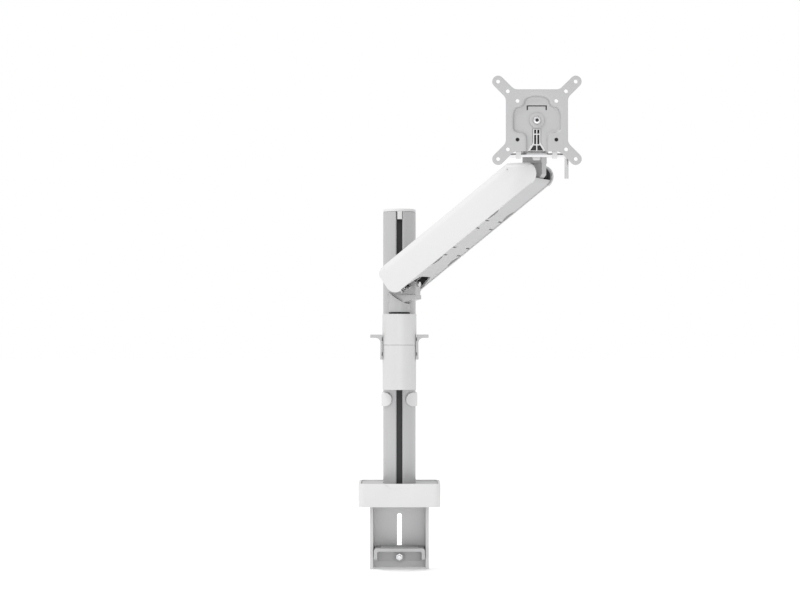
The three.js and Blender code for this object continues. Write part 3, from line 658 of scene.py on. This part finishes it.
def slab(name, outline, holes, low, high, edge, place, extra=None):
    """A flat piece with quarter-round rims.

    Each loop is carried from the lower level to the upper one: it steps inwards by
    edge x (1 - sin t) while it climbs by edge x (1 - cos t). Both ends are filled with
    triangles between the loops. The levels are numbers or functions of the points, and
    place turns points and levels into positions in millimetres.
    """
    low_at = low if callable(low) else (lambda points: np.full(len(points), float(low)))
    high_at = high if callable(high) else (lambda points: np.full(len(points), float(high)))
    turns = np.radians([0.0, 30.0, 60.0, 90.0])
    loops = [outline] + [hole[::-1] for hole in holes]
    points, faces, count = [], [], 0

    def gather(new_points, new_faces):
        nonlocal count
        points.append(new_points)
        faces.extend([[i + count for i in face] for face in new_faces])
        count += len(new_points)

    for loop in loops:
        rows = []
        for turn in turns:
            at = shrunk(loop, edge * (1 - math.sin(turn)))
            rows.append(place(at, high_at(at) - edge * (1 - math.cos(turn))))
        for turn in turns[::-1]:
            at = shrunk(loop, edge * (1 - math.sin(turn)))
            rows.append(place(at, low_at(at) + edge * (1 - math.cos(turn))))
        gather(*grid_mesh(np.stack(rows), loop_v=True))
    rims = [shrunk(loop, edge) for loop in loops]
    flat = np.vstack(rims)
    sizes = np.cumsum([0] + [len(rim) for rim in rims])
    sides = np.vstack([
        np.stack([np.arange(a, b), np.roll(np.arange(a, b), -1)], axis=-1)
        for a, b in zip(sizes[:-1], sizes[1:])
    ])
    if extra is not None:
        away = np.minimum.reduce([np.abs(depth_inside(extra, rim)) for rim in rims])
        flat = np.vstack([flat, extra[inside(extra, rims) & (away > RIM_CLEARANCE)]])
    found = delaunay_2d_cdt(flat.tolist(), sides.tolist(), [], 0, 1e-6)
    corners = np.array([tuple(v) for v in found[0]])
    triangles = np.array(found[2])
    triangles = triangles[inside(corners[triangles].mean(axis=1), rims)]
    gather(place(corners, high_at(corners)), triangles.tolist())
    gather(place(corners, low_at(corners)), triangles[:, ::-1].tolist())
    return new_piece(name, np.vstack(points) * MM, faces)


def standing(points, levels):
    """Outline in X and Y, levels in Z."""
    return np.column_stack([points, levels])


def facing_user(points, levels):
    """Outline in X and Z about the screen plate's centre, levels in Y."""
    return np.column_stack([points[:, 0] + HEAD_X, levels, points[:, 1] + HEAD_Z])


def along_arm(x, across, up):
    """The arm's own frame, x along it, into the object's frame: turned up by RISE about the
    lower pivot, then swung by SWING towards the user about the hub."""
    u = PIVOT_U + x * math.cos(RISE) - up * math.sin(RISE)
    z = PIVOT_Z + x * math.sin(RISE) + up * math.cos(RISE)
    return np.stack([
        u * math.cos(SWING) + across * math.sin(SWING),
        HUB_Y - u * math.sin(SWING) + across * math.cos(SWING),
        z,
    ], axis=-1)


def dressed(piece, body, finish, slot, *nodes):
    """Puts a finish on a new piece, rides it on its body, and hides the nodes it stands for."""
    piece.data.materials.append(finish_named(finish))
    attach(piece, body)
    if nodes:
        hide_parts(*nodes)
    return piece


def second_finish(piece, finish, where):
    """Gives another finish to the faces whose centre, in millimetres, meets a condition."""
    piece.data.materials.append(finish_named(finish))
    centres = np.zeros(len(piece.data.polygons) * 3)
    piece.data.polygons.foreach_get("center", centres)
    chosen = where(*centres.reshape(-1, 3).T / MM)
    piece.data.polygons.foreach_set("material_index", chosen.astype(np.int32))


# ---- pole, cap and cable clip --------------------------------------------------------------

POLE_RADIUS = 22.5
POLE_LEVELS = (12.7, 403.3)
MOUTH = (4.1, 5.4, 20.9, 18.4)      # half width inside, half width at the lips, their depths
CAVITY = (8.6, 12.3)                # half width and depth of the slot's inner room
LUMEN = (18.5, 11.5, 9.5)           # radius, half width and depth of the housing in it


class MONITORARM_OT_pole(Operator):
    """Round pole with its undercut slot, its cap and the cable clip"""

    bl_idname = "monitor_arm.pole"
    bl_label = "Pole, cap and clip"

    def execute(self, context):
        self.pole()
        self.cap()
        self.clip()
        return {"FINISHED"}

    def pole(self):
        """The section, an open ring with an undercut slot, carried straight up."""
        mouth, lips, lip_depth, throat = MOUTH
        room, back = CAVITY
        lip_angle = math.degrees(math.asin(lips / POLE_RADIUS))
        outline = loop_of(
            arc(0, 0, POLE_RADIUS, lip_angle - 90, 270 - lip_angle, 121),
            (-mouth, -lip_depth), (-mouth, -throat), (-room, -throat), (-room, -back),
            (room, -back), (room, -throat), (mouth, -throat), (mouth, -lip_depth),
        )
        radius, half, depth = LUMEN
        corner = math.degrees(math.acos(half / radius))
        hole = loop_of(
            (half, -depth), arc(0, 0, radius, -corner, 180 + corner, 61), (-half, -depth),
        )
        pole = slab("pole_tube", outline, [hole], *POLE_LEVELS, 0.3, standing)
        dressed(pole, "base", "brushed", "silver_metal", "pole")

        # Painted shade: the faces of the slot's inner room wear the dark finish, so that the deep
        # slot looks shaded.
        def in_slot_shade(x, y, _):
            return (np.abs(x) < room + 0.1) & (y < -back + 0.1) & (np.hypot(x, y) < lip_depth)

        second_finish(pole, "dark", in_slot_shade)

    def cap(self):
        """A thin domed disc, circles whose radius and height follow a rounded edge, and a
        tongue that hangs in the slot."""
        low, high = 403.6, 408.0
        edge = 1.6
        turn = np.radians(np.linspace(0, 90, 7))
        radii = np.concatenate([
            [0.0, POLE_RADIUS - 0.4, POLE_RADIUS],
            POLE_RADIUS - edge + edge * np.cos(turn), [POLE_RADIUS / 2, 0.0],
        ])
        heights = np.concatenate([
            [low, low, low + 0.4], high - edge - 0.4 + edge * np.sin(turn), [high - 0.1, high],
        ])
        angles = np.linspace(0, TURN, 96, endpoint=False)
        disc = np.stack([
            radii[:, None] * np.cos(angles), radii[:, None] * np.sin(angles),
            np.broadcast_to(heights[:, None], (len(radii), 96)),
        ], axis=-1)
        cap = new_piece("pole_cap_disc", *scaled(grid_mesh(disc, loop_v=True)))
        dressed(cap, "base", "white", "white_shell", "pole_cap")
        tongue = slab(
            "pole_cap_tongue", filleted_box(-2.8, 3.7, 392.7, 404.0, 0.6, 5), [],
            -22.3, -19.0, 0.4, lambda points, levels: np.column_stack(
                [points[:, 0], levels, points[:, 1]]),
        )
        dressed(tongue, "base", "white", "white_shell")

    def clip(self):
        """A band round the back of the pole: at each height it runs on until its projected
        edge meets a circle, so that both ends look round from the front."""
        low, high, radius, ends = 136.0, 155.0, 25.1, (-20.6, 19.2)
        inner = POLE_RADIUS + 0.3
        half = (high - low) / 2 - 0.02
        heights = half * np.sin(np.linspace(-math.pi / 2, math.pi / 2, 25))
        reach = np.sqrt(np.maximum(half ** 2 - heights ** 2, 0))
        share = np.linspace(0, 1, 97)
        start = math.pi * 1.5 + np.arcsin(np.clip((ends[1] - reach) / radius, -1, 1)) - TURN
        stop = math.pi * 1.5 - np.arcsin(np.clip((-ends[0] - reach) / radius, -1, 1))
        angle = start[:, None] * (1 - share) + stop[:, None] * share
        z = np.broadcast_to(((low + high) / 2 + heights)[:, None], angle.shape)
        outer = np.stack([radius * np.cos(angle), radius * np.sin(angle), z], axis=-1)
        inside_face = np.stack([inner * np.cos(angle), inner * np.sin(angle), z], axis=-1)
        points, faces = closed_sheet(outer, inside_face)
        clip = new_piece("clip_band", points * MM, faces)
        soften(clip, 0.5)
        dressed(clip, "clip", "white", "white_shell", "cable_clip")


def scaled(points_faces):
    """Points in millimetres made metres."""
    points, faces = points_faces
    return points * MM, faces


def closed_sheet(front, back):
    """Two grids of the same size joined along their four borders into one closed wall."""
    rows, columns = front.shape[:2]
    index = np.arange(rows * columns).reshape(rows, columns)
    other = index + rows * columns
    points = np.concatenate([front.reshape(-1, 3), back.reshape(-1, 3)])
    quads = [
        np.stack([index[:-1, :-1], index[:-1, 1:], index[1:, 1:], index[1:, :-1]], -1),
        np.stack([other[:-1, :-1], other[1:, :-1], other[1:, 1:], other[:-1, 1:]], -1),
    ]
    for near, far in ((index[0], other[0]), (index[-1], other[-1]),
                      (index[:, 0], other[:, 0]), (index[:, -1], other[:, -1])):
        quads.append(np.stack([near[:-1], near[1:], far[1:], far[:-1]], -1)[None])
    faces = np.concatenate([q.reshape(-1, 4) for q in quads]).tolist()
    return points, faces


def soften(piece, width):
    """A small bevel on the edges sharper than 40 degrees."""
    bevel = piece.modifiers.new("soften", "BEVEL")
    bevel.width = width * MM
    bevel.segments = 3
    bevel.limit_method = "ANGLE"
    bevel.angle_limit = math.radians(40.0)
    bevel.harden_normals = True


# ---- base cover ----------------------------------------------------------------------------


class MONITORARM_OT_cover(Operator):
    """White base cover with the scoop in its front wall"""

    bl_idname = "monitor_arm.cover"
    bl_label = "Base cover"

    def execute(self, context):
        """A rounded frame. In the middle of the front wall the outer rim dips between two
        slopes while the inner rim stays up, which leaves a slanted scoop."""
        width, front, back, wall, corner = 112.0, -51.0, 40.0, 3.4, 9.0
        top, dip, floor_half, mouth_half = 32.0, 6.7, 13.2, 20.4

        def rim(points):
            slope = np.clip((mouth_half - np.abs(points[:, 0])) / (mouth_half - floor_half), 0, 1)
            return top - dip * slope * (points[:, 1] < front + wall / 2)

        outer = finely(filleted_box(-width / 2, width / 2, front, back, corner, 17), 1.6)
        inner = finely(filleted_box(
            -width / 2 + wall, width / 2 - wall, front + wall, back - wall, corner - wall, 13,
        ), 1.6)
        cover = slab("cover_shell", outer, [inner], 0.4, rim, 0.7, standing)
        dressed(cover, "base", "white", "white_shell", "base_cover")
        return {"FINISHED"}


# ---- screen plate --------------------------------------------------------------------------

HEAD_X, HEAD_Z = 177.183, 510.0     # the plate's centre
PLATE_FRONT = -195.0
PLATE_HALF = 40.0
HOLE_RADIUS, CENTRE_HOLE_RADIUS = 2.5, 3.4
HOLE_PLACES = (25, 37.5, 50)        # half the sides of the 50, 75 and 100 mm hole squares
CATCH_FACE, CATCH_FLOOR, CATCH_BACK = -191.3, -187.4, -183.2


def bend_between(start, control, end, count=12):
    """Points on the quadratic curve between two ends, drawn towards a control point."""
    t = np.linspace(0, 1, count)[:, None]
    start, control, end = (np.array(p, float) for p in (start, control, end))
    return start * (1 - t) ** 2 + control * 2 * t * (1 - t) + end * t ** 2


def pocket_outline():
    """The pressed pocket: one half, then its mirror image, running off the lower edge."""
    half = loop_of(
        (13.2, -45), bend_between((13.2, -24), (13.2, -16), (23, -15.5)),
        bend_between((23, -15.5), (30.2, -15), (30.2, -8)),
        bend_between((30.2, 4), (29.6, 14), (25, 16.4)),
        bend_between((25, 16.4), (16, 17), (15.6, 25)),
        bend_between((15.6, 25), (13, 30.5), (0, 31)),
    )
    mirror = half[::-1] * (-1, 1)
    return loop_of(half, mirror[1:])


def plate_outline():
    """The square with four ears: one filleted ear, turned by quarter turns."""
    half, ear, reach, fillet = PLATE_HALF, 7.6, 50.0, 4.5
    root = half - ear * math.sqrt(2)
    slant = fillet * math.sqrt(0.5)
    quarter = loop_of(
        bend_between((half, root - fillet), (half, root), (half + slant, root + slant), 7),
        arc(reach, reach, ear, -45, 135, 33),
        bend_between((root + slant, half + slant), (root, half), (root - fillet, half), 7),
    )
    turned = [quarter]
    for _ in range(3):
        last = turned[-1]
        turned.append(np.column_stack([-last[:, 1], last[:, 0]]))
    return np.concatenate(turned)


class MONITORARM_OT_plate(Operator):
    """Screen plate with its pressed pocket, the catch and its ribs, and the centre screw"""

    bl_idname = "monitor_arm.plate"
    bl_label = "Screen plate"

    def execute(self, context):
        sizes = context.scene.monitor_arm_sizes
        self.plate(sizes.plate_thickness / MM, sizes.pocket_depth / MM)
        self.latch()
        self.screw()
        self.key()
        return {"FINISHED"}

    def plate(self, thickness, depth):
        """A sheet whose front lies back by depth x s(d), where d is the distance inside the
        pocket's outline and s climbs smoothly from 0 to 1 over the wall's width."""
        pocket = pocket_outline()
        wall = 1.5

        def front(points):
            share = np.clip((depth_inside(points, pocket) + wall) / (2 * wall), 0, 1)
            return PLATE_FRONT + depth * share * share * (3 - 2 * share)

        holes = [
            ring(HOLE_RADIUS, 32) + (sx * at, sz * at)
            for at in HOLE_PLACES for sx in (-1, 1) for sz in (-1, 1)
        ]
        holes.append(ring(CENTRE_HOLE_RADIUS, 32))
        holes.append(finely(loop_of(
            (-13, 13.4), (-11.4, 13.4), (-11.4, 18.2), (11.4, 18.2), (11.4, 13.4), (13, 13.4),
            (13, 19.6), (-13, 19.6),
        ), 2.0))
        outline = self.with_notch(plate_outline())
        fine = finely(pocket, 0.9)
        near = [shrunk(fine, step) for step in np.linspace(-wall, wall, 7)]
        extent, spacing = 54, 4.0
        across = np.arange(-extent, extent + 1, spacing)
        grid = np.stack(np.meshgrid(across, across), -1)
        far = grid.reshape(-1, 2)
        far = far[np.abs(depth_inside(far, pocket)) > 2.5 * wall]
        piece = slab(
            "screen_plate", finely(outline, 1.2), holes, front,
            lambda points: front(points) + thickness, 0.3, facing_user,
            np.concatenate(near + [far]),
        )
        dressed(piece, "head", "silver", "silver_metal", "vesa_plate")

    def with_notch(self, outline):
        """The outline with the opening for the catch let in through its lower side."""
        on_side = np.abs(outline[:, 1] + PLATE_HALF) < 1e-6
        side = on_side & (np.abs(outline[:, 0]) < PLATE_HALF - 10)
        order = np.flatnonzero(side)
        cut = order[np.argmin(outline[order, 0])]
        rolled = np.roll(outline, -(cut + 1), axis=0)
        notch = np.array([
            (-11.5, -40.0), (-11.5, -39.4), (-5.5, -28.7), (-5.5, -10.5),
            (5.5, -10.5), (5.5, -28.7), (11.5, -39.4), (11.5, -40.0),
        ])
        return np.concatenate([notch, rolled])

    def latch(self):
        """The ribbed bell of the catch: its outline with six cells, and the tab below it."""
        cells = []
        for high, low in ((-11.7, -17.0), (-18.3, -30.6), (-32.0, -38.8)):
            upper, lower = (4.4, 8.6) if high < -31 else (3.4, 3.4)
            for side in (-1, 1):
                cell = np.array([(0.7, high), (0.7, low), (lower, low), (upper, high)])
                cells.append(cell if side > 0 else (cell * (-1, 1))[::-1])
        outline = np.array([
            (-11, -39.4), (11, -39.4), (5, -28.5), (5, -10.9), (-5, -10.9), (-5, -28.5),
        ])
        ribs = slab("catch_ribs", outline, cells, CATCH_FACE, CATCH_FLOOR, 0.15, facing_user)
        dressed(ribs, "catch", "white", "white_shell", "release_latch")
        floor = slab("catch_floor", outline, [], CATCH_FLOOR, CATCH_BACK, 0.1, facing_user)
        dressed(floor, "catch", "dark", "dark_plastic")
        tab = slab(
            "catch_tab", filleted_box(-5.1, 5.1, -50.7, -38.0, 2.4, 9), [],
            -185.9, CATCH_BACK, 0.5, facing_user,
        )
        dressed(tab, "catch", "white", "white_shell")

    def screw(self):
        """Button head with a hexagon recess: rings whose radius, in the recess, follows the
        hexagon instead of a circle."""
        angles = np.linspace(0, TURN, 72, endpoint=False)
        hexagon = 2.1 / np.cos((angles + math.pi / 6) % (math.pi / 3) - math.pi / 6)
        round_one = np.ones(72)
        rows = [
            (0.05 * round_one, -195.2), (hexagon, -195.2), (hexagon * 1.02, -196.6),
            (hexagon * 1.12, -196.8), (3.6 * round_one, -196.8), (4.6 * round_one, -196.3),
            (5.1 * round_one, -195.3), (5.1 * round_one, -194.1), (2.9 * round_one, -194.1),
            (2.9 * round_one, -173.0), (0.05 * round_one, -173.0),
        ]
        grid = np.stack([
            np.stack([HEAD_X + r * np.cos(angles), np.full(72, y), HEAD_Z + r * np.sin(angles)], -1)
            for r, y in rows
        ])
        screw = new_piece("centre_screw", *scaled(
            grid_mesh(grid, loop_v=True, cap_start=True, cap_end=True)))
        dressed(screw, "head", "steel", "bright_steel", "plate_screw")

        # Painted shade: the hexagon recess wears the dark finish, so that the socket looks shaded.
        def in_shaded_recess(x, y, z):
            return (np.hypot(x - HEAD_X, z - HEAD_Z) < 2.25) & (y > -196.75) & (y < -195)

        second_finish(screw, "dark", in_shaded_recess)

    def key(self):
        """A hexagon with eased corners carried along an L with a round bend."""
        y, z, left, right, foot, bend = -189.2, -44.8, -38.9, 38.5, -75.3, 5.0
        turn = np.radians(np.linspace(90, 0, 13))
        path = np.concatenate([
            [(left, z), (left + 0.4, z)],
            np.column_stack([right - bend + bend * np.cos(turn), z - bend + bend * np.sin(turn)]),
            [(right, foot + 0.4), (right, foot)],
        ])
        ahead = np.gradient(path, axis=0)
        ahead /= np.linalg.norm(ahead, axis=1, keepdims=True)
        normal = np.column_stack([-ahead[:, 1], ahead[:, 0]])
        sides = np.linspace(0, TURN, 36, endpoint=False)
        half_flats, eased_corner = 2.5, 2.78
        hexagon = half_flats / np.cos((sides % (math.pi / 3)) - math.pi / 6)
        radius = np.minimum(hexagon, eased_corner)
        size = np.ones(len(path))
        size[[0, -1]] = 0.86
        off = size[:, None] * radius * np.sin(sides)
        grid = np.stack([
            HEAD_X + path[:, :1] + normal[:, :1] * off,
            y + size[:, None] * radius * np.cos(sides),
            HEAD_Z + path[:, 1:] + normal[:, 1:] * off,
        ], axis=-1)
        key = new_piece("hexagon_key", *scaled(
            grid_mesh(grid, loop_v=True, cap_start=True, cap_end=True)))
        dressed(key, "key", "steel", "bright_steel", "hex_key")


# ---- arm shell -----------------------------------------------------------------------------

REACH, DROP = 232.5, -7.5           # the tip pivot, along and below the arm's middle line
HALF, UP = 30.0, 23.0               # half width and half height of the arm
SMALL_ROUND = 1.4                   # rounding at the heel and the nose
NOSE_OPENING = 8.0                  # how far behind the tip pivot the nose starts to be open
SLOT_START, REAR_TOP = 199.5, -4.0  # where the yoke's slot starts and the rear notch ends


class MONITORARM_OT_shell(Operator):
    """White arm shell: flat sides, well rounded top edges, open underneath"""

    bl_idname = "monitor_arm.shell"
    bl_label = "Arm shell"

    def execute(self, context):
        sizes = context.scene.monitor_arm_sizes
        self.shell(sizes.shell_round / MM, sizes.shell_wall / MM)
        return {"FINISHED"}

    def side_line(self):
        """The side outline from the rear's foot, over the top, to the nose's foot."""
        nose, shoulder, crest, heel, rear = 15.5, 9.0, 12.0, 16.0, -16.5
        flat = 90 - math.degrees(RISE)
        rise_z = UP - shoulder
        shoulder_x = REACH + (nose - shoulder - (rise_z - DROP) * math.cos(RISE)) / math.sin(RISE)
        line = loop_of(
            arc(rear + heel, -UP + heel, heel, 270, 180, 17),
            arc(rear + crest, UP - crest, crest, 180, 90, 13),
            arc(shoulder_x, rise_z, shoulder, 90, flat, 9),
            arc(REACH, DROP, nose, flat, -90, 29),
        )
        steps = np.concatenate([[0], np.cumsum(np.linalg.norm(np.diff(line, axis=0), axis=1))])
        spacing, shortest = 4.0, 0.05
        even = np.unique(np.concatenate([steps, np.arange(0, steps[-1], spacing)]))
        keep = np.concatenate([[True], np.diff(even) > shortest])
        even = even[keep]
        return np.column_stack([np.interp(even, steps, line[:, i]) for i in (0, 1)])

    def shell(self, top_round, wall):
        """The side line carried across the width: at each point it is drawn in by
        r x (1 - sin t) while it goes out by r x (1 - cos t), where r is the large round on
        the top and a small one at the heel and nose. A wall of even thickness follows inside."""
        line = self.side_line()
        ahead = np.gradient(line, axis=0)
        ahead /= np.linalg.norm(ahead, axis=1, keepdims=True)
        inward = np.column_stack([ahead[:, 1], -ahead[:, 0]])
        up = np.clip(-inward[:, 1], 0, 1) ** 2
        rounding = SMALL_ROUND + (top_round - SMALL_ROUND) * up
        return self.carried(line, inward, rounding, wall)

    def carried(self, line, inward, rounding, wall):
        """The skin over those rows, flat sides included, with its wall as a modifier, whose inner
        faces wear the grey as painted shade.
        """
        turns = np.radians(np.linspace(0, 90, 9))
        rows = []
        for side in (-1, 1):
            order = turns if side < 0 else turns[::-1]
            for turn in order:
                draw = rounding * (1 - math.sin(turn))
                across = side * (HALF - rounding * (1 - math.cos(turn)))
                at = line + inward * draw[:, None]
                rows.append(along_arm(at[:, 0], across, at[:, 1]))
        points, faces = grid_mesh(np.stack(rows), cap_start=True, cap_end=True)
        keep = self.closed_quads(line, len(rows))
        faces = [face for face, kept in zip(faces[:-2], keep) if kept] + faces[-2:]
        shell = new_piece("shell_skin", points * MM, faces)
        thick = shell.modifiers.new("wall", "SOLIDIFY")
        thick.thickness = wall * MM
        thick.offset = -1.0
        # Painted shade: the wall's inner faces take the grey, so that the inside of the shell, seen
        # through its openings, looks shaded.
        thick.material_offset = 1
        dressed(shell, "arm", "white", "white_shell", "arm_shell")
        shell.data.materials.append(finish_named("grey"))

    def closed_quads(self, line, rows):
        """Which quads stay: the nose and the slot for the yoke are open between the rounded
        edges, and so is the rear below the knuckle."""
        x, up = ((line[1:] + line[:-1]) / 2).T
        nose = x > REACH - NOSE_OPENING
        slot = (x > SLOT_START) & (up > 0)
        rear = (x < 0) & (up < REAR_TOP)
        between = np.arange(rows - 1) == rows // 2 - 1
        return ~(between[:, None] & (nose | slot | rear)[None]).reshape(-1)


# ---- panel and registration ----------------------------------------------------------------

STEPS = ["stage", "carried", "pole", "cover", "plate", "shell"]


class MONITORARM_PT_panel(Panel):
    """Lists the operators and the settings"""

    bl_label = "Monitor Arm"
    bl_idname = "MONITORARM_PT_panel"
    bl_space_type = "VIEW_3D"
    bl_region_type = "UI"
    bl_category = "Monitor Arm"

    def draw(self, context):
        for step in STEPS:
            self.layout.operator("monitor_arm." + step)
        for settings in ("monitor_arm_sizes", "monitor_arm_colours", "monitor_arm_stage"):
            group = getattr(context.scene, settings)
            box = self.layout.box()
            for key in group.bl_rna.properties.keys():
                if key not in ("rna_type", "name"):
                    box.prop(group, key)


CLASSES = [
    MonitorArmSizes,
    MonitorArmColours,
    MonitorArmStage,
    MONITORARM_OT_stage,
    MONITORARM_OT_carried,
    MONITORARM_OT_pole,
    MONITORARM_OT_cover,
    MONITORARM_OT_plate,
    MONITORARM_OT_shell,
    MONITORARM_PT_panel,
]


def register():
    for cls in CLASSES:
        bpy.utils.register_class(cls)
    bpy.types.Scene.monitor_arm_sizes = PointerProperty(type=MonitorArmSizes)
    bpy.types.Scene.monitor_arm_colours = PointerProperty(type=MonitorArmColours)
    bpy.types.Scene.monitor_arm_stage = PointerProperty(type=MonitorArmStage)


def unregister():
    del bpy.types.Scene.monitor_arm_stage
    del bpy.types.Scene.monitor_arm_colours
    del bpy.types.Scene.monitor_arm_sizes
    for cls in reversed(CLASSES):
        bpy.utils.unregister_class(cls)


def main():
    """Builds everything."""
    register()
    for step in STEPS:
        getattr(bpy.ops.monitor_arm, step)()


if __name__ == "__main__":
    main()
